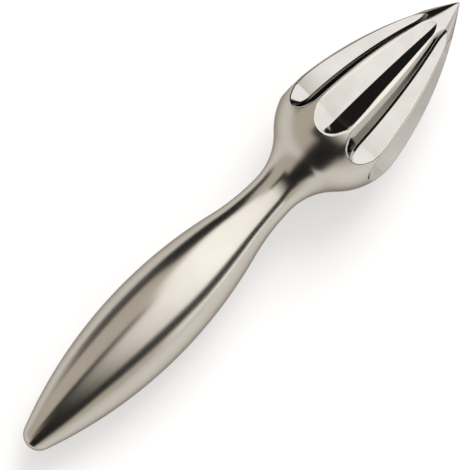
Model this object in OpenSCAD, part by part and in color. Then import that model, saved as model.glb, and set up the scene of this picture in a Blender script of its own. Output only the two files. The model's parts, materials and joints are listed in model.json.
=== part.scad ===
// Hand reamer for lemons, lying at rest: a hollow spindle handle welded to a fluted head.
// Sizes are millimetres. A station is a distance along the tool's axis from the handle's end.
// With the sizes given here, every two curves of the outline meet at a point with round values.

/* [Tool] */
// Length from the handle's rounded end to the point of the head
tool_len = 170; // [168:1:170]

/* [Handle] */
// Largest diameter of the handle
handle_d = 25; // [23:2:27]
// Station of the handle's largest diameter
belly_pos = 48.5; // [46:2.5:51]
// Radius of the handle's rounded end
end_r = 4.5; // [3.5:1:5.5]
// Radius of the long curve from the belly towards the neck
belly_r = 130; // [115:15:145]
// Thickness of the pressed sheet
wall = 1.3; // [0.8:0.5:1.3]

/* [Neck] */
// Diameter of the neck at its waist
neck_d = 13; // [12:1:14]
// Station of the waist, where the shells are welded to the head
neck_pos = 96.5; // [95:1.5:98]
// Length of the head's spigot inside the shells
spigot_len = 10; // [6:4:14]
// Gap for the brazing metal around the spigot
spigot_gap = 0.05; // [0.05:0.05:0.1]

/* [Head] */
// Largest diameter of the head
head_d = 35.86; // [35.86:0.14:36]
// Station of the head's largest diameter
head_pos = 123.17; // [123.17:0.13:123.3]
// Radius of the shoulder's curve
shoulder_r = 19.72; // [19.72:0.28:20]
// Length by which the shoulder's curve runs on past the largest diameter
shoulder_run = 3.016; // [2.96:0.056:3.016]
// Radius of the long curve from the shoulder to the point
side_r = 104.72; // [104:0.72:104.72]
// Diameter of the casting core where it passes through the spigot
core_d = 7; // [5:1:8]
// Thickness of the metal between the casting core and the floors of the flutes
core_wall = 3.5; // [2.5:0.5:4]

/* [Flutes] */
// Number of flutes around the head
flutes = 9; // [8:1:10]
// Angle between the two walls of a flute
flute_angle = 124; // [124:1:126]
// Width of a flute's flat floor
floor_w = 1; // [1:0.1:1.2]
// Station where a flute's floor starts its long curve
flute_start = 122; // [121.8:0.2:122.2]
// Station where a flute's floor ends its long curve
flute_end = 158.5; // [158.4:0.1:158.6]
// Depth of a flute at that start, below the head's largest diameter
start_depth = 3.2; // [3.1:0.1:3.3]
// Depth of a flute at that end, below the outline
end_depth = 1.35; // [1.35:0.05:1.4]
// Radius of the floor's long curve
floor_r = 123; // [122:1:124]
// Angle to the axis at which a flute rises out of the shoulder
run_in_angle = 31; // [30:1:32]
// Angle to the axis at which a flute runs out near the point
run_out_angle = 2; // [1.5:0.5:2.5]

/* [Hidden] */
$fn = 360;
shell_colour = [0.73, 0.70, 0.65];
head_colour = [0.80, 0.78, 0.74];
handle_r = handle_d / 2;
neck_r = neck_d / 2;
head_r = head_d / 2;

// Each curve of the outline meets the next one without a corner, which fixes these radii
end_belly_r = ((belly_pos - end_r) ^ 2 + handle_r ^ 2 - end_r ^ 2) / (2 * (handle_r - end_r));
belly_run = neck_pos - belly_pos;
belly_drop = handle_r - neck_r;
belly_neck_sum = (belly_run ^ 2 + belly_drop ^ 2) / (2 * belly_drop);
neck_back_r = belly_neck_sum - belly_r;
head_run = head_pos - neck_pos;
head_rise = head_r - neck_r;
neck_head_sum = (head_run ^ 2 + head_rise ^ 2) / (2 * head_rise);
neck_front_r = neck_head_sum - shoulder_r;

// Slope angles at which the curves meet
end_turn = atan2(belly_pos - end_r, end_belly_r - handle_r);
belly_turn = atan2(belly_run, belly_neck_sum - belly_drop);
neck_turn = atan2(head_run, neck_head_sum - head_rise);
shoulder_turn = asin(shoulder_run / shoulder_r);
side_shift = side_r - shoulder_r;
side_pos = head_pos - side_shift * sin(shoulder_turn);
side_centre_r = head_r - shoulder_r - side_shift * cos(shoulder_turn);
point_turn = asin((tool_len - side_pos) / side_r);

// The outline's curves: [station of the centre, its distance from the axis, radius,
// 1 for a bulge or -1 for a hollow, slope angle at the start, slope angle at the end]
CURVES = [
    [end_r, 0, end_r, 1, -90, -end_turn],
    [belly_pos, handle_r - end_belly_r, end_belly_r, 1, -end_turn, 0],
    [belly_pos, handle_r - belly_r, belly_r, 1, 0, belly_turn],
    [neck_pos, neck_r + neck_back_r, neck_back_r, -1, -belly_turn, 0],
    [neck_pos, neck_r + neck_front_r, neck_front_r, -1, 0, neck_turn],
    [head_pos, head_r - shoulder_r, shoulder_r, 1, -neck_turn, shoulder_turn],
    [side_pos, side_centre_r, side_r, 1, shoulder_turn, point_turn]
];
HANDLE_CURVES = [0:3];
HANDLE_AND_NECK_CURVES = [0:4];
HEAD_CURVES = [4:6];

// A flute's floor, as points [distance from the axis, station]: one long curve between its two
// ends, around a centre on the far side of the axis
side_end_r = side_centre_r + sqrt(side_r ^ 2 - (flute_end - side_pos) ^ 2);
floor_start = [head_r - start_depth, flute_start];
floor_end = [side_end_r - end_depth, flute_end];
floor_chord = floor_end - floor_start;
floor_sink = sqrt(floor_r ^ 2 - floor_chord * floor_chord / 4);
floor_centre = (floor_start + floor_end) / 2
    - floor_sink * [floor_chord[1], -floor_chord[0]] / norm(floor_chord);

// The cutter follows the floor's curve in straight passes, which slanted ends limit
passes = 2;
cut_height = 5;
cut_half_w = floor_w / 2 + cut_height * tan(flute_angle / 2);
CUT = [
    [0, -floor_w / 2],
    [0, floor_w / 2],
    [cut_height, cut_half_w],
    [cut_height, -cut_half_w]
];
cut_len = 2 * (tool_len - head_pos);
end_lead = 12;
end_root = 2;
run_in = [sin(run_in_angle), -cos(run_in_angle)];
run_out = [-sin(run_out_angle), cos(run_out_angle)];
travel_start = floor_start + end_lead * run_in;
travel_end = floor_end + end_lead * run_out;
travel_top = head_r + cut_height;
TRAVEL = [
    travel_start,
    floor_start - end_root * run_in,
    floor_end - end_root * run_out,
    travel_end,
    [travel_top, travel_end[1]],
    [travel_top, travel_start[1]]
];

// Casting core: straight through the spigot, wide behind the flutes, and tapered with them
core_start = neck_pos - spigot_len;
flare_run = 6;
core_flare = neck_pos + flare_run;
core_share = 0.88;
core_end = floor_start + core_share * floor_chord - [core_wall, 0];
CORE = [
    [0, core_start],
    [core_d / 2, core_start],
    [core_d / 2, core_flare],
    floor_start - [core_wall, 0],
    core_end,
    [0, core_end[1] + core_end[0]]
];

// Resting place: the table touches the curve before the belly and the curve of the shoulder
rest_along = head_pos - belly_pos;
rest_across = end_belly_r - handle_r - (shoulder_r - head_r);
rest_tilt = acos((end_belly_r - shoulder_r) / norm([rest_along, rest_across]))
    - atan2(rest_along, rest_across);
rest_lift = end_belly_r - belly_pos * sin(rest_tilt)
    - (end_belly_r - handle_r) * cos(rest_tilt);
end_x = end_r * cos(rest_tilt) - end_r;
point_x = tool_len * cos(rest_tilt);

// A slice's edge, rounded so that the next slice starts at exactly the same station
function edge(c, r, angle) = round(1000 * (c[0] + r * sin(angle))) / 1000;

// A point of the floor's curve, at a share of the way from its start to its end
function floor_angle(p) = atan2(p[1] - floor_centre[1], p[0] - floor_centre[0]);
function floor_point(share) =
    let (a = (1 - share) * floor_angle(floor_start) + share * floor_angle(floor_end))
    floor_centre + floor_r * [cos(a), sin(a)];

// The slice of the outline under one curve, with the sheet's thickness or a gap taken off
module curve_slice(c, inset) {
    r = c[2] - c[3] * inset;
    low = edge(c, r, c[4]);
    high = edge(c, r, c[5]);
    if (c[3] > 0) {
        intersection() {
            translate([0, low]) square([c[2], high - low]);
            translate([c[1], c[0]]) circle(r);
        }
    } else {
        difference() {
            translate([0, low]) square([c[1], high - low]);
            translate([c[1], c[0]]) circle(r);
        }
    }
}

module outline(indices, inset = 0) {
    for (i = indices) curve_slice(CURVES[i], inset);
}

// Lays the tool down, with its axis along +X and the middle of its length over the origin. The
// first flute faces straight up, so that with an odd number of flutes the head stands on a ridge.
module lay_down() {
    translate([-(end_x + point_x) / 2, 0, rest_lift])
        rotate([180, -90 - rest_tilt, 0])
            children();
}

// Half of the handle, pressed from sheet and open along the seam and at the neck
module handle_shell(start) {
    color(shell_colour)
        lay_down()
            rotate([0, 0, start])
                rotate_extrude(angle = 180)
                    difference() {
                        outline(HANDLE_CURVES);
                        outline(HANDLE_AND_NECK_CURVES, wall);
                    }
}

module handle_shell_left() {
    handle_shell(180);
}

module handle_shell_right() {
    handle_shell(0);
}

// Cored body of the head before fluting, with the spigot that the shells close around
module head_blank() {
    rotate_extrude()
        difference() {
            union() {
                outline(HEAD_CURVES);
                intersection() {
                    curve_slice(CURVES[3], wall + spigot_gap);
                    translate([0, core_start]) square([neck_d, spigot_len]);
                }
            }
            polygon(CORE);
        }
}

// One straight pass of the cutter between two points of the floor
module cutter_pass(from, to) {
    slope = atan2(from[0] - to[0], to[1] - from[1]);
    translate([from[0], 0, from[1]])
        rotate([0, -slope, 0])
            translate([0, 0, -cut_len / 2])
                linear_extrude(cut_len)
                    polygon(CUT);
}

module flute_cut() {
    intersection() {
        union() {
            for (i = [0 : passes - 1]) cutter_pass(floor_point(i / passes), floor_point((i + 1) / passes));
        }
        rotate([90, 0, 0])
            translate([0, 0, -cut_half_w])
                linear_extrude(2 * cut_half_w)
                    polygon(TRAVEL);
    }
}

module reamer_head() {
    color(head_colour)
        lay_down()
            difference() {
                head_blank();
                for (i = [0 : flutes - 1]) rotate([0, 0, i * 360 / flutes]) flute_cut();
            }
}

handle_shell_left();
handle_shell_right();
reamer_head();
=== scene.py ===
# Looks of a hand lemon reamer: two satin handle shells welded to a head with polished flutes.
# The tool's own sizes are millimetres. A station is a distance along its axis from the handle's end.
import json
import math
from collections import namedtuple

import bpy
import numpy as np
from mathutils import Matrix, Vector


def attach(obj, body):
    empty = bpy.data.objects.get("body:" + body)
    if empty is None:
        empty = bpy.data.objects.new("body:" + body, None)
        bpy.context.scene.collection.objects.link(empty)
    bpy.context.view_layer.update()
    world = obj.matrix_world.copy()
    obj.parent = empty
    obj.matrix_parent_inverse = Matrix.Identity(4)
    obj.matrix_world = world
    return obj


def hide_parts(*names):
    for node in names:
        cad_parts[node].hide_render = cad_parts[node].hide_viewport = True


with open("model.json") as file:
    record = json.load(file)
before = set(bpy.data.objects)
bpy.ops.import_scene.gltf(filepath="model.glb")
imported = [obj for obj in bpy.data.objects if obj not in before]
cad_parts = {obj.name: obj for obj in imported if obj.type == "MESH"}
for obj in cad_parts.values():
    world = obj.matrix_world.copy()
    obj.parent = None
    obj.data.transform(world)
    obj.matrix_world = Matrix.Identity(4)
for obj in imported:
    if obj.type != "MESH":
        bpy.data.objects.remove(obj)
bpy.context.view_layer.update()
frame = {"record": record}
mounts = {m["name"]: m for m in frame["record"]["mounts"]}

MM = 0.001

# Outline
TOOL_LEN = 170.0
HANDLE_R = mounts["handle_grip"]["dims"]["r_mm"]
NECK_R = mounts["neck_waist"]["dims"]["r_mm"]
HEAD_R = mounts["fruit_seat"]["dims"]["r_mm"]
BELLY_POS = 48.5
NECK_POS = 96.5
HEAD_POS = 123.17
END_R = 4.5
BELLY_R = 130.0
SHOULDER_R = 19.72
SHOULDER_RUN = 3.016
SIDE_R = 104.72
WALL = 1.3
SPIGOT_LEN = 10.0
SPIGOT_GAP = 0.05

# Flutes: a flat floor on a long curve between two straight walls. A flute starts as a bowl, cutter
# wheels round off both ends of its floor, and its rims are rounded most near the start.
FLUTES = 9
WALL_SLOPE = math.tan(math.radians(26.5))
FLOOR_HALF_W = 0.5
FLOOR_R = 108.0
FLUTE_START = 122.0
START_DEPTH = 3.4
FLUTE_END = 158.5
END_DEPTH = 1.4
START_WHEEL_POS = 122.8
START_WHEEL_R = 8.0
END_WHEEL_POS = 157.0
END_WHEEL_R = 10.0
BOWL_R = 3.0
BOWL_SPAN = (117.0, 121.5)
FLOOR_ROUNDING = 0.04
RIM_ROUNDING = 0.18
START_RIM_ROUNDING = 0.45
START_RIM_SPAN = (118.0, 131.0)

# Polish: it sets in with the depth of the cut, and over the last stretch before the point
POLISH_DEPTH = (0.03, 0.16)
POLISH_SPAN = (158.0, 163.0)

# Fineness of the meshes. The head's rows are spaced anew from each of these stations on.
HANDLE_ROWS = 150
NOSE_ROWS = 25
HALF_TURN_COLUMNS = 72
HEAD_ROWS = [
    (NECK_POS, 0.8),
    (116.0, 0.065),
    (118.5, 0.12),
    (123.0, 1.1),
    (156.0, 0.14),
    (163.5, 0.4),
    (169.5, 0.1),
]
LAST_ROW = TOOL_LEN - 0.02
FLOOR_STEPS = 4
WALL_STEPS = 16
LAND_STEPS = 6
LEAST_DEPTH = 0.05
NARROWEST_RIM = 1.5  # as a multiple of the turn from a flute's middle to its floor's edge
WIDEST_RIM = 0.96  # as a share of the turn from a flute's middle to the ridge
RIM_CORRECTIONS = 6
BISECTIONS = 44
SLOPE_STEP = 0.004
WELD = 1e-8  # metres

# Directions of the tool as it lies, and the handle's end, in the row frame
axis = np.array(mounts["neck_waist"]["axis"])
side = np.array([0.0, 1.0, 0.0])
above = np.cross(axis, side)
handle_end = np.array(mounts["neck_waist"]["pos_m"]) - axis * (NECK_POS * MM)


# An arc of the outline: its centre's station and distance from the axis, its radius, whether it bulges
# or is hollow, and the station where it ends
Arc = namedtuple("Arc", "pos centre radius bulge end")
BULGE = 1
HOLLOW = -1


def outline_arcs():
    """The outline's arcs from the handle's end to the point, each of which meets the next smoothly."""
    end_belly_r = ((BELLY_POS - END_R) ** 2 + HANDLE_R**2 - END_R**2) / (2 * (HANDLE_R - END_R))
    end_turn = math.atan2(BELLY_POS - END_R, end_belly_r - HANDLE_R)
    run, drop = NECK_POS - BELLY_POS, HANDLE_R - NECK_R
    neck_back_r = (run**2 + drop**2) / (2 * drop) - BELLY_R
    belly_share = BELLY_R / (BELLY_R + neck_back_r)
    head_run, rise = HEAD_POS - NECK_POS, HEAD_R - NECK_R
    neck_front_r = (head_run**2 + rise**2) / (2 * rise) - SHOULDER_R
    neck_share = neck_front_r / (neck_front_r + SHOULDER_R)
    tangent = SHOULDER_RUN / SHOULDER_R
    shift = SIDE_R - SHOULDER_R
    side_pos = HEAD_POS - shift * tangent
    side_r = HEAD_R - SHOULDER_R - shift * math.sqrt(1 - tangent**2)
    return [
        Arc(END_R, 0.0, END_R, BULGE, END_R - END_R * math.sin(end_turn)),
        Arc(BELLY_POS, HANDLE_R - end_belly_r, end_belly_r, BULGE, BELLY_POS),
        Arc(BELLY_POS, HANDLE_R - BELLY_R, BELLY_R, BULGE, BELLY_POS + run * belly_share),
        Arc(NECK_POS, NECK_R + neck_back_r, neck_back_r, HOLLOW, NECK_POS),
        Arc(NECK_POS, NECK_R + neck_front_r, neck_front_r, HOLLOW, NECK_POS + head_run * neck_share),
        Arc(HEAD_POS, HEAD_R - SHOULDER_R, SHOULDER_R, BULGE, HEAD_POS + SHOULDER_RUN),
        Arc(side_pos, side_r, SIDE_R, BULGE, TOOL_LEN),
    ]


ARCS = outline_arcs()
NOSE_END = ARCS[0].end


def arc_at(station):
    """The arc that the outline follows at each station, as an Arc of arrays."""
    ends = [arc.end for arc in ARCS]
    which = np.clip(np.searchsorted(ends, station), 0, len(ARCS) - 1)
    return Arc(*np.moveaxis(np.array(ARCS)[which], -1, 0))


def outline(station):
    """The outline's radius at each station."""
    arc = arc_at(station)
    return arc.centre + arc.bulge * np.sqrt(np.maximum(arc.radius**2 - (station - arc.pos) ** 2, 0.0))


def outline_normal(station):
    """The outline's normal at each station, as its parts along the axis and away from it."""
    arc = arc_at(station)
    scale = arc.bulge / arc.radius
    return scale * (station - arc.pos), scale * (outline(station) - arc.centre)


def smooth_min(a, b, width):
    """The smaller of two lengths, rounded where they differ by less than a width."""
    share = np.maximum(width - np.abs(a - b), 0.0) / width
    return np.minimum(a, b) - share**2 * width / 4


def smooth_max(a, b, width):
    """The larger of two lengths, rounded in the same way."""
    return -smooth_min(-a, -b, width)


def smooth_step(x, low, high):
    """A soft step from 0 to 1 between two values."""
    share = np.clip((x - low) / (high - low), 0.0, 1.0)
    return share * share * (3 - 2 * share)


# A flute's floor runs on an arc from its start to its end, around a centre beyond the axis. Points of
# it are pairs of a distance from the axis and a station.
floor_start = np.array([HEAD_R - START_DEPTH, FLUTE_START])
floor_end = np.array([outline(np.array(FLUTE_END)) - END_DEPTH, FLUTE_END])
chord = floor_end - floor_start
sink = math.sqrt(FLOOR_R**2 - chord @ chord / 4) / math.sqrt(chord @ chord)
floor_centre = (floor_start + floor_end) / 2 - sink * np.array([chord[1], -chord[0]])


def wheel_at(station, radius):
    """A cutter wheel that touches the floor at a station: its centre, its radius and the floor's
    direction there."""
    along = (station - floor_centre[1]) / FLOOR_R
    normal = np.array([math.sqrt(1 - along**2), along])
    return floor_centre + (FLOOR_R + radius) * normal, radius, np.array([-normal[1], normal[0]])


start_wheel = wheel_at(START_WHEEL_POS, START_WHEEL_R)
end_wheel = wheel_at(END_WHEEL_POS, END_WHEEL_R)


def height_over_floor(out, station):
    """Height of points over a flute's floor, or within a wheel beyond the station that it touches."""
    height = np.hypot(out - floor_centre[0], station - floor_centre[1]) - FLOOR_R
    for (centre, radius, onwards), way in ((start_wheel, -1), (end_wheel, 1)):
        aside, ahead = out - centre[0], station - centre[1]
        beyond = way * (aside * onwards[0] + ahead * onwards[1]) > 0
        height = np.where(beyond, radius - np.hypot(aside, ahead), height)
    return height


def wall_height(across, station):
    """Height of a flute's wall over its floor, at distances from the flute's middle."""
    straight = smooth_max(WALL_SLOPE * (across - FLOOR_HALF_W), 0.0, FLOOR_ROUNDING)
    bowl = WALL_SLOPE * (np.hypot(across, BOWL_R) - BOWL_R)
    return bowl + smooth_step(station, *BOWL_SPAN) * (straight - bowl)


def flute_surface(station, turn):
    """Distance from the axis of a flute's surface, at angles from the flute's middle."""
    low = np.zeros(np.shape(station + turn))
    high = np.full(low.shape, 2 * HEAD_R)
    for _ in range(BISECTIONS):
        r = (low + high) / 2
        across = np.abs(r * np.sin(turn))
        inside = height_over_floor(r * np.cos(turn), station) < wall_height(across, station)
        low, high = np.where(inside, r, low), np.where(inside, high, r)
    return r


def head_radius(station, angle):
    """The fluted head's radius. The first flute faces straight up, where angles start."""
    pitch = math.tau / FLUTES
    turn = (angle + pitch / 2) % pitch - pitch / 2
    past_start = smooth_step(station, *START_RIM_SPAN)
    rounding = START_RIM_ROUNDING + (RIM_ROUNDING - START_RIM_ROUNDING) * past_start
    return smooth_min(outline(station), flute_surface(station, turn), rounding)


def outward(angle):
    """Direction away from the axis at an angle from straight up."""
    return np.cos(angle)[..., None] * above + np.sin(angle)[..., None] * side


def onward(angle):
    """Direction in which the angle grows."""
    return np.cos(angle)[..., None] * side - np.sin(angle)[..., None] * above


def place(station, angle, radius):
    """Points of the tool in the row frame, in metres."""
    return handle_end + MM * (station[..., None] * axis + radius[..., None] * outward(angle))


def ring(station, radius, angle):
    """A row of points around the axis, which ends where it starts."""
    points = place(np.full(angle.shape, station), angle, np.full(angle.shape, radius))
    points[:, -1] = points[:, 0]
    return points


def add(name, data):
    """A new object in the scene."""
    made = bpy.data.objects.new(name, data)
    bpy.context.scene.collection.objects.link(made)
    return made


class Skin:
    """Grids of surface points, welded into one closed mesh in which each grid keeps its own normals."""

    def __init__(self):
        self.points, self.normals, self.polish = [], [], []

    def grid(self, points, normals, polish=0.0):
        """Adds the quads of a grid, turned so that they face along its normals."""
        normals = np.broadcast_to(normals, points.shape)
        polish = np.broadcast_to(polish, points.shape[:-1])

        def quads(a):
            return np.stack([a[:-1, :-1], a[1:, :-1], a[1:, 1:], a[:-1, 1:]], axis=2)

        corners, facing, shine = quads(points), quads(normals), quads(polish)
        face = np.cross(corners[:, :, 2] - corners[:, :, 0], corners[:, :, 3] - corners[:, :, 1])
        if np.sum(face * facing.mean(axis=2)) < 0:
            corners, facing, shine = corners[:, :, ::-1], facing[:, :, ::-1], shine[:, :, ::-1]
        self.points.append(corners.reshape(-1, 3))
        self.normals.append(facing.reshape(-1, 3))
        self.polish.append(shine.reshape(-1))

    def build(self, name):
        """The object made of all grids; corners that meet become one vertex."""
        points, normals = np.concatenate(self.points), np.concatenate(self.normals)
        polish = np.concatenate(self.polish)
        keys = np.round(points / WELD).astype(np.int64)
        _, first, index = np.unique(keys, axis=0, return_index=True, return_inverse=True)
        faces, loops = [], []
        for start, quad in enumerate(index.reshape(-1, 4).tolist()):
            kept = [i for i in range(4) if quad[i] != quad[i - 1]]
            if len(kept) > 2:
                faces.append([quad[i] for i in kept])
                loops.extend(4 * start + i for i in kept)
        mesh = bpy.data.meshes.new(name)
        mesh.from_pydata(points[first].tolist(), [], faces)
        mesh.polygons.foreach_set("use_smooth", [True] * len(faces))
        mesh.normals_split_custom_set(normals[loops].tolist())
        mesh.attributes.new("polish", "FLOAT", "POINT").data.foreach_set("value", polish[first])
        return add(name, mesh)


def handle_shell(name, first_seam):
    """One pressed half of the handle, from the angle of its first seam on: outside, inside, both seam
    faces and the face at the neck."""
    nose = END_R * (1 - np.cos(np.linspace(0, math.pi / 2, NOSE_ROWS, endpoint=False)))
    stations = np.concatenate([nose[nose < NOSE_END], np.linspace(NOSE_END, NECK_POS, HANDLE_ROWS)])
    turns = first_seam + np.linspace(0, math.pi, HALF_TURN_COLUMNS)
    station, angle = np.meshgrid(stations, turns, indexing="ij")
    lengthwise, outwards = outline_normal(station)
    normal = lengthwise[..., None] * axis + outwards[..., None] * outward(angle)
    outside = place(station, angle, outline(station))
    inside = outside - MM * WALL * normal
    skin = Skin()
    skin.grid(outside, normal)
    skin.grid(inside, -normal)
    for column, way in ((0, -1), (-1, 1)):
        seam = np.stack([outside[:, column], inside[:, column]], axis=1)
        skin.grid(seam, way * onward(turns[column]))
    skin.grid(np.stack([outside[-1], inside[-1]]), axis)
    return skin.build(name)


def head_stations():
    """Rows of the head's mesh, close together where the flutes start and end."""
    starts, spacings = zip(*HEAD_ROWS)
    ends = (*starts[1:], TOOL_LEN)
    rows = [
        np.linspace(a, b, round((b - a) / spacing), endpoint=False)
        for a, b, spacing in zip(starts, ends, spacings)
    ]
    return np.concatenate([*rows, [LAST_ROW]])


def spread(low, high, steps):
    """Angles from low up to high in each row, close together at both."""
    share = (1 - np.cos(np.linspace(0, math.pi, steps, endpoint=False))) / 2
    return low[:, None] + (high - low)[:, None] * share


def head_angles(stations):
    """Columns of the head's mesh, which follow the floors and the rims of the flutes in every row."""
    half = math.pi / FLUTES
    at = np.minimum(stations, FLUTE_END)
    land_r = outline(at)
    depth = np.maximum(land_r - flute_surface(at, 0.0), LEAST_DEPTH)
    floor_turn = FLOOR_HALF_W / (land_r - depth)
    rim_turn = np.minimum((FLOOR_HALF_W + depth / WALL_SLOPE) / land_r, WIDEST_RIM * half)
    for _ in range(RIM_CORRECTIONS):
        rim_turn = rim_turn - (flute_surface(at, rim_turn) - land_r) / (WALL_SLOPE * land_r)
        rim_turn = np.clip(rim_turn, NARROWEST_RIM * floor_turn, WIDEST_RIM * half)
    middle, ridge = np.zeros(at.shape), np.full(at.shape, half)
    rising = np.concatenate([
        spread(middle, floor_turn, FLOOR_STEPS),
        spread(floor_turn, rim_turn, WALL_STEPS),
        spread(rim_turn, ridge, LAND_STEPS),
    ], axis=1)
    falling = 2 * half - rising[:, :0:-1]
    flute = np.concatenate([rising, ridge[:, None], falling], axis=1)
    around = [flute + 2 * half * i for i in range(FLUTES)]
    return np.concatenate([*around, flute[:, :1] + math.tau], axis=1)


def head_surface(station, angle):
    """Points and outward normals of the fluted head."""
    r = head_radius(station, angle)
    turn = SLOPE_STEP / np.maximum(r, SLOPE_STEP)
    ahead, behind = head_radius(station + SLOPE_STEP, angle), head_radius(station - SLOPE_STEP, angle)
    after, before = head_radius(station, angle + turn), head_radius(station, angle - turn)
    along, around = (ahead - behind) / (2 * SLOPE_STEP), (after - before) / (2 * SLOPE_STEP)
    normal = outward(angle) - around[..., None] * onward(angle) - along[..., None] * axis
    return place(station, angle, r), normal / np.linalg.norm(normal, axis=-1, keepdims=True)


def reamer_head(name):
    """The fluted head, closed at the neck by the spigot that goes into the handle."""
    stations = head_stations()
    angle = head_angles(stations)
    station = np.broadcast_to(stations[:, None], angle.shape)
    points, normals = head_surface(station, angle)
    points[:, -1] = points[:, 0]
    cut = smooth_step(outline(station) - head_radius(station, angle), *POLISH_DEPTH)
    skin = Skin()
    skin.grid(points, normals, np.maximum(cut, smooth_step(station, *POLISH_SPAN)))
    skin.grid(np.concatenate([points[-1:], ring(TOOL_LEN, 0.0, angle[-1:])]), axis, 1.0)

    spigot_pos = NECK_POS - SPIGOT_LEN
    spigot_r = outline(np.array(spigot_pos)) - WALL - SPIGOT_GAP
    turns = angle[:1]
    spigot_root = ring(NECK_POS, NECK_R - WALL - SPIGOT_GAP, turns)
    spigot_end = ring(spigot_pos, spigot_r, turns)
    skin.grid(np.concatenate([points[:1], spigot_root]), -axis)
    skin.grid(np.concatenate([spigot_root, spigot_end]), outward(turns))
    skin.grid(np.concatenate([spigot_end, ring(spigot_pos, 0.0, turns)]), -axis)
    return skin.build(name)


class Shade:
    """One socket of a node tree, on which arithmetic adds the nodes that work it out."""

    def __init__(self, tree, socket=None):
        self.tree, self.socket = tree, socket

    def node(self, kind, inputs, output=0, **settings):
        """A node of any kind, with its settings and then its inputs, as one of its outputs."""
        made = self.tree.nodes.new(kind)
        for key, value in settings.items():
            setattr(made, key, value)
        for key, value in inputs.items():
            if isinstance(value, Shade):
                self.tree.links.new(value.socket, made.inputs[key])
            else:
                made.inputs[key].default_value = value
        return Shade(self.tree, made.outputs[output] if made.outputs else None)

    def math(self, operation, a, b=0.0):
        return self.node("ShaderNodeMath", {0: a, 1: b}, operation=operation)

    def __add__(self, other):
        return self.math("ADD", self, other)

    def __sub__(self, other):
        return self.math("SUBTRACT", self, other)

    def __rsub__(self, other):
        return self.math("SUBTRACT", other, self)

    def __mul__(self, other):
        return self.math("MULTIPLY", self, other)

    def __truediv__(self, other):
        return self.math("DIVIDE", self, other)

    def __rtruediv__(self, other):
        return self.math("DIVIDE", other, self)

    __radd__, __rmul__ = __add__, __mul__

    def most(self, other):
        return self.math("MAXIMUM", self, other)

    def least(self, other):
        return self.math("MINIMUM", self, other)

    def clip(self, low, high):
        return self.most(low).least(high)

    def rise(self, low, high):
        """A soft step from 0 to 1 between two values, or from 1 to 0 if the first is the larger."""
        return self.node("ShaderNodeMapRange", {"Value": self, "From Min": low, "From Max": high},
                         interpolation_type="SMOOTHSTEP")

    def band(self, start, full, fading, end):
        """1 between the two values in the middle, with soft edges out to the other two."""
        return self.rise(start, full) * self.rise(end, fading)

    def blend(self, a, b):
        """A mix of two colours, with this value as the share of the second."""
        return self.node("ShaderNodeMix", {0: self, 6: a, 7: b}, 2, data_type="RGBA")

    def dot(self, vector):
        return self.node("ShaderNodeVectorMath", {0: self, 1: tuple(vector)}, "Value",
                         operation="DOT_PRODUCT")

    def noise(self, scale, detail):
        """Noise over a piece, with as many waves to the metre as the scale says."""
        spot = self.node("ShaderNodeTexCoord", {}, "Object")
        return self.node("ShaderNodeTexNoise", {"Vector": spot, "Scale": scale, "Detail": detail}, "Fac")

    def rays(self):
        """Whether a ray comes straight from the camera, through something clear, or off a mirror."""
        kinds = ("Is Camera Ray", "Is Transmission Ray", "Is Glossy Ray")
        return [self.node("ShaderNodeLightPath", {}, kind) for kind in kinds]


def blank_tree(owner):
    """The emptied node tree of a material or a world."""
    owner.use_nodes = True
    owner.node_tree.nodes.clear()
    return Shade(owner.node_tree)


def colour(r, g, b):
    return (r, g, b, 1.0)


# Finishes: colours between which the steel drifts, the tint of its grazing reflections, noises as their
# scale and detail, and roughness
SATIN_COLOURS = (colour(0.52, 0.485, 0.435), colour(0.555, 0.52, 0.47))
POLISHED_COLOURS = (colour(0.435, 0.415, 0.39), colour(0.47, 0.45, 0.425))
EDGE_TINT = colour(0.42, 0.39, 0.35)
GRAIN = (2600.0, 2.0)
CLOUD = (60.0, 3.0)
SMEAR = (180.0, 4.0)
DRIFT = (0.3, 0.7)
SATIN_ROUGHNESS = 0.175
GRAIN_ROUGHNESS = 0.02
CLOUD_ROUGHNESS = 0.02
POLISHED_ROUGHNESS = 0.05
SMEAR_ROUGHNESS = 0.04
GRAIN_RELIEF = 0.0002  # metres
GRAIN_STRENGTH = 0.02


def satin_finish(shade):
    """Colour, roughness and relief of finely blasted steel."""
    grain, cloud = shade.noise(*GRAIN), shade.noise(*CLOUD)
    base = cloud.rise(*DRIFT).blend(*SATIN_COLOURS)
    return base, SATIN_ROUGHNESS + CLOUD_ROUGHNESS * cloud + GRAIN_ROUGHNESS * grain, grain


def fluted_finish(shade):
    """The same steel, mirror-bright where the mesh's polish attribute says so."""
    satin_base, satin_rough, grain = satin_finish(shade)
    polish = shade.node("ShaderNodeAttribute", {}, "Fac", attribute_name="polish")
    smear = shade.noise(*SMEAR)
    polished_base = smear.rise(*DRIFT).blend(*POLISHED_COLOURS)
    polished_rough = POLISHED_ROUGHNESS + SMEAR_ROUGHNESS * smear
    rough = satin_rough + polish * (polished_rough - satin_rough)
    return polish.blend(satin_base, polished_base), rough, grain * (1 - polish)


def steel(name, finish):
    """A steel material with one of the finishes."""
    material = bpy.data.materials.new(name)
    shade = blank_tree(material)
    base, rough, relief = finish(shade)
    bump = shade.node("ShaderNodeBump", {
        "Strength": GRAIN_STRENGTH, "Distance": GRAIN_RELIEF, "Height": relief})
    metal = shade.node("ShaderNodeBsdfPrincipled", {
        "Base Color": base, "Metallic": 1.0, "Roughness": rough, "Normal": bump,
        "Specular Tint": EDGE_TINT})
    shade.node("ShaderNodeOutputMaterial", {"Surface": metal})
    return material


satin = steel("satin steel", satin_finish)
fluted = steel("satin steel with polished flutes", fluted_finish)
for piece, node, material, slot in (
    (handle_shell("left_handle_half", 0.0), "handle_shell_left", satin, "satin_shell"),
    (handle_shell("right_handle_half", math.pi), "handle_shell_right", satin, "satin_shell"),
    (reamer_head("fluted_reamer_head"), "reamer_head", fluted, "fluted_head"),
):
    piece.data.materials.append(material)
    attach(piece, "root")
    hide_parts(node)

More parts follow.
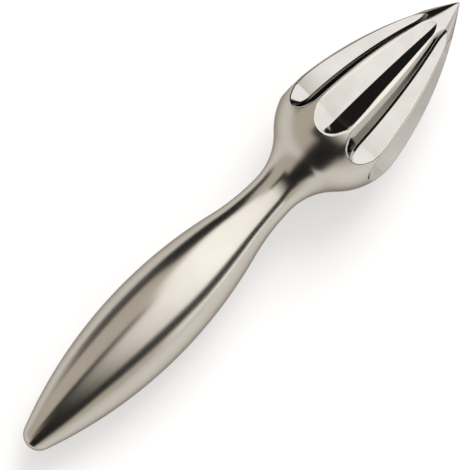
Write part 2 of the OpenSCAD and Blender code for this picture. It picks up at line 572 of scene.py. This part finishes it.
# Camera: square to the tool's axis, leaning a little to the tool's right, with a long lens. Lengths are
# metres. The picture's middle is a little to the left of the tool's middle, and a little below it.
LEAN = math.radians(10.0)
PICTURE_TURN = math.radians(45.81)
CAMERA_DISTANCE = 0.9
FIELD = 0.1291
SENSOR = 36.0  # millimetres
AIM_LEFT = 0.0024
AIM_DOWN = 0.00295
back = math.cos(LEAN) * above - math.sin(LEAN) * side
near_side = np.cross(axis, back)
cam_right = math.cos(PICTURE_TURN) * axis + math.sin(PICTURE_TURN) * near_side
cam_up = math.sin(PICTURE_TURN) * axis - math.cos(PICTURE_TURN) * near_side
aim = handle_end + axis * (TOOL_LEN / 2 * MM) - AIM_LEFT * cam_right - AIM_DOWN * cam_up
camera = add("camera", bpy.data.cameras.new("camera"))
camera.data.sensor_width = SENSOR
camera.data.lens = SENSOR * CAMERA_DISTANCE / FIELD
camera_axes = Matrix([Vector(v) for v in (cam_right, cam_up, back)]).transposed()
camera.matrix_world = Matrix.Translation(Vector(aim + back * CAMERA_DISTANCE)) @ camera_axes.to_4x4()
bpy.context.scene.camera = camera

# Studio that the metal mirrors: a soft panel over the tool and strips of light low on its near side,
# with dark cards around them, in a pale warm room. Places are degrees from the camera's direction:
# along the tool towards its point, and down towards its near side. A pair of places is one soft edge,
# and four of them are a band with two soft edges.
WHITE = colour(1.0, 1.0, 1.0)
BLACK = colour(0.0, 0.0, 0.0)
ROOM_COLOUR = colour(0.72, 0.67, 0.60)
CARD_COLOUR = colour(0.02, 0.02, 0.02)
PANEL_COLOUR = colour(1.72, 1.72, 1.72)
PANEL_HANDLE_EDGE = (-32.0, 22.0)
PANEL_FAR_EDGE = (-30.0, -16.0)
PANEL_NEAR_EDGE = (42.0, 34.0)
HANDLE_EDGE_SLOPE = 0.12
HANDLE_EDGE_SLOPING = (0.0, 32.0)
NEAR_EDGE_SLOPE = 0.5
NEAR_EDGE_SLOPING = (-30.0, 14.0)
FAR_EDGE_STEP = 20.0
FAR_EDGE_STEPPING = (0.0, 9.0)
FAR_EDGE_SLOPE = 0.9
FAR_EDGE_SLOPING = (5.0, 25.0)
FAR_EDGE_RETURN = 1.3
POINT_BEND = (52.0, 72.0)
HANDLE_CARD_OUTER_EDGE = (-52.0, -40.0)
HANDLE_CARD_INNER_EDGE = (-6.0, -36.0)
HANDLE_CARD_DOWN = (-30.0, -18.0, 42.0, 54.0)
END_CARD_OUTER_EDGE = (-156.0, -136.0)
END_CARD_INNER_EDGE = (-22.0, -36.0)
END_CARD_DOWN = (-22.0, -4.0, 34.0, 52.0)
NEAR_CARD_ALONG = (-48.0, -34.0, 54.0, 60.0)
NEAR_CARD_DOWN = (35.0, 41.0, 59.0, 65.0)
FAR_CARD_ALONG = (-50.0, -40.0, -6.0, 4.0)
FAR_CARD_DOWN = (-34.0, -28.0, -20.0, -14.0)
BACK_CARD_ALONG = (-52.0, -14.0, 110.0, 124.0)
BACK_CARD_LOW_EDGE = (-108.0, -97.0)
BACK_CARD_TOP_EDGE = (-61.0, -66.0)
BACK_CARD_HANDLE_PART = (14.0, 6.0)
BACK_CARD_STEP = 12.0
BACK_CARD_PALER = 0.12
STRIP_STARTS = (-8.0, 4.0)
STRIP_BRIGHTENS = (8.0, 22.0)
STRIP_TOP_EDGE = (60.0, 65.0)
STRIP_LOW_EDGE = (82.0, 75.0)
STRIP_SHARES = (0.7, 0.3)
LOW_GLOW_STARTS = (4.0, 14.0)
LOW_GLOW_TOP_EDGE = (81.0, 87.0)
LOW_GLOW_SHARE = 0.6
HORIZON = (0.22, -0.12)  # sines of the elevation
NEARLY_ONE = 0.9999


def studio(world):
    """The surroundings. White takes their place for the camera, and below the horizon in mirrors too."""
    shade = blank_tree(world)
    ray = shade.node("ShaderNodeTexCoord", {}, "Generated")
    facing = ray.dot(back).clip(-NEARLY_ONE, NEARLY_ONE)
    angle = math.degrees(1.0) * shade.math("ARCCOSINE", facing)
    degrees = angle / shade.math("SQRT", 1 - facing * facing)
    along, down = degrees * ray.dot(axis), degrees * ray.dot(near_side)

    # The panel's edges are bent: each is straight in one of these
    point_bend = along.clip(*POINT_BEND) - POINT_BEND[0]
    far_slope = along.clip(*FAR_EDGE_SLOPING) - FAR_EDGE_SLOPING[0]
    far_bend = (down + FAR_EDGE_STEP * along.rise(*FAR_EDGE_STEPPING) + FAR_EDGE_SLOPE * far_slope
                - FAR_EDGE_RETURN * point_bend)
    near_bend = down - NEAR_EDGE_SLOPE * along.clip(*NEAR_EDGE_SLOPING)
    handle_bend = along - HANDLE_EDGE_SLOPE * down.clip(*HANDLE_EDGE_SLOPING)
    panel = (handle_bend.rise(*PANEL_HANDLE_EDGE) * far_bend.rise(*PANEL_FAR_EDGE)
             * near_bend.rise(*PANEL_NEAR_EDGE))

    handle_card = (along.rise(*HANDLE_CARD_OUTER_EDGE) * handle_bend.rise(*HANDLE_CARD_INNER_EDGE)
                   * down.band(*HANDLE_CARD_DOWN))
    end_card = (along.rise(*END_CARD_OUTER_EDGE) * handle_bend.rise(*END_CARD_INNER_EDGE)
                * down.band(*END_CARD_DOWN))
    near_card = along.band(*NEAR_CARD_ALONG) * near_bend.band(*NEAR_CARD_DOWN)
    far_card = along.band(*FAR_CARD_ALONG) * down.band(*FAR_CARD_DOWN)
    by_handle = along.rise(*BACK_CARD_HANDLE_PART)
    back_top = down - point_bend + BACK_CARD_STEP * by_handle
    back_card = (along.band(*BACK_CARD_ALONG) * (down + point_bend).rise(*BACK_CARD_LOW_EDGE)
                 * back_top.rise(*BACK_CARD_TOP_EDGE) * (1 - BACK_CARD_PALER * by_handle))
    dark = handle_card.most(end_card).most(near_card).most(far_card).most(back_card)

    start_share, rest_share = STRIP_SHARES
    strip_light = start_share * along.rise(*STRIP_STARTS) + rest_share * along.rise(*STRIP_BRIGHTENS)
    strip = strip_light * near_bend.rise(*STRIP_TOP_EDGE) * down.rise(*STRIP_LOW_EDGE)
    low_glow = LOW_GLOW_SHARE * along.rise(*LOW_GLOW_STARTS) * down.rise(*LOW_GLOW_TOP_EDGE)
    strips = strip.most(low_glow)

    room = dark.blend(ROOM_COLOUR, CARD_COLOUR)
    light = panel.most(strips).blend(room, PANEL_COLOUR)
    straight, through, mirrored = shade.rays()
    below = ray.dot((0.0, 0.0, 1.0)).rise(*HORIZON)
    white = straight + through + mirrored * below * (1 - dark.most(strips))
    background = shade.node("ShaderNodeBackground", {"Color": white.blend(light, WHITE)})
    shade.node("ShaderNodeOutputWorld", {"Surface": background})


bpy.context.scene.world = bpy.data.worlds.new("studio")
studio(bpy.context.scene.world)

# Floor and lamp
FLOOR_RADIUS = 0.11  # metres
FLOOR_SIDES = 96
FLOOR_GREY = colour(0.33, 0.33, 0.33)
FLOOR_GLOW = colour(0.53, 0.522, 0.514)
KEY_DIRECTION = (-0.9, -0.28, -1.0)
KEY_SOFTNESS = math.radians(34.0)
KEY_STRENGTH = 2.9


def floor():
    """A round white floor that keeps the tool's soft shadow; beyond its rim the studio is white too."""
    turns = np.linspace(0.0, math.tau, FLOOR_SIDES, endpoint=False)
    rim = FLOOR_RADIUS * np.stack([np.cos(turns), np.sin(turns), 0.0 * turns], axis=1)
    mesh = bpy.data.meshes.new("floor")
    mesh.from_pydata(rim.tolist(), [], [range(FLOOR_SIDES)])
    material = bpy.data.materials.new("floor")
    shade = blank_tree(material)
    straight, through, mirrored = shade.rays()
    glow = (straight + through + mirrored).blend(BLACK, FLOOR_GLOW)
    both = shade.node("ShaderNodeAddShader", {
        0: shade.node("ShaderNodeBsdfDiffuse", {"Color": FLOOR_GREY}),
        1: shade.node("ShaderNodeEmission", {"Color": glow})})
    shade.node("ShaderNodeOutputMaterial", {"Surface": both})
    mesh.materials.append(material)
    add("floor", mesh)


def key_lamp():
    """A wide, even lamp that throws the tool's soft shadow and doesn't show in the metal."""
    lamp = add("key lamp", bpy.data.lights.new("key lamp", "SUN"))
    lamp.data.angle = KEY_SOFTNESS
    lamp.data.energy = KEY_STRENGTH
    lamp.rotation_euler = Vector(KEY_DIRECTION).to_track_quat("-Z", "Y").to_euler()
    lamp.visible_glossy = False


floor()
key_lamp()

bpy.context.scene.view_settings.view_transform = "Standard"
